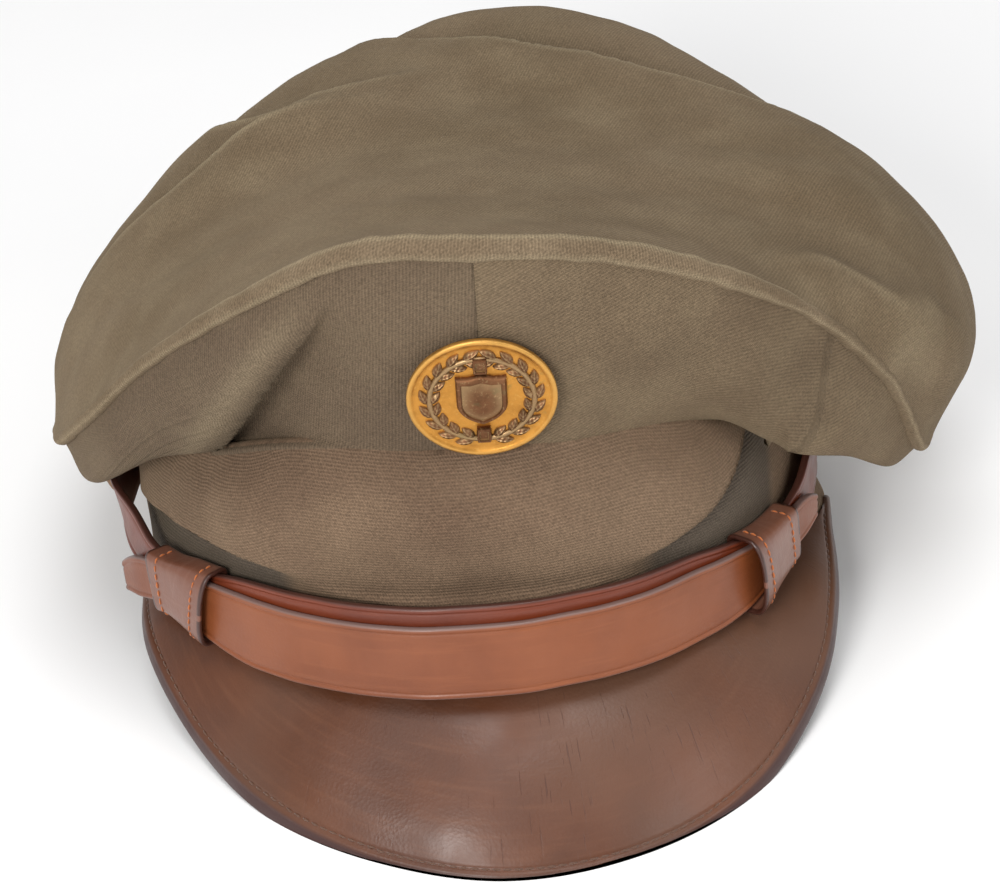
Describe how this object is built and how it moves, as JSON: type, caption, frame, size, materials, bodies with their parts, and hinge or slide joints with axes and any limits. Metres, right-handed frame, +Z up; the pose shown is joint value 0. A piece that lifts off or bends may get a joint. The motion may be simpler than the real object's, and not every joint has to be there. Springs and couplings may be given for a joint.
{
  "type": "crusher cap",
  "caption": "Soft crushed peaked cap in olive wool with a brown leather visor, a layered leather front strap and a disc badge.",
  "frame": {"origin": "centre of the cap in plan, at the surface it lies on", "axes": "+Z up, the visor points to -Y, +X is the right hand side in the picture"},
  "size_m": [0.2628, 0.2862, 0.1618],
  "materials": {
    "olive_cloth": "olive drab wool twill, worn",
    "band_cloth": "browner ribbed wool cloth, worn",
    "visor_leather": "glossy red brown leather, cracked and scuffed",
    "strap_leather": "glossy brown leather, burnished edges",
    "brass": "worn orange brass",
    "dark_bronze": "dark aged bronze with worn high spots"
  },
  "bodies": {
    "root": {"crown_top": "olive_cloth", "crown_side_left": "olive_cloth", "crown_side_right": "olive_cloth", "crown_welt": "olive_cloth", "band": "band_cloth", "visor": "visor_leather", "strap_outer": "strap_leather", "strap_inner": "strap_leather", "keeper_left": "strap_leather", "keeper_right": "strap_leather", "badge_disc": "brass", "badge_device": "dark_bronze", "side_button_left": "dark_bronze", "side_button_right": "dark_bronze"}
  },
  "joints": []
}
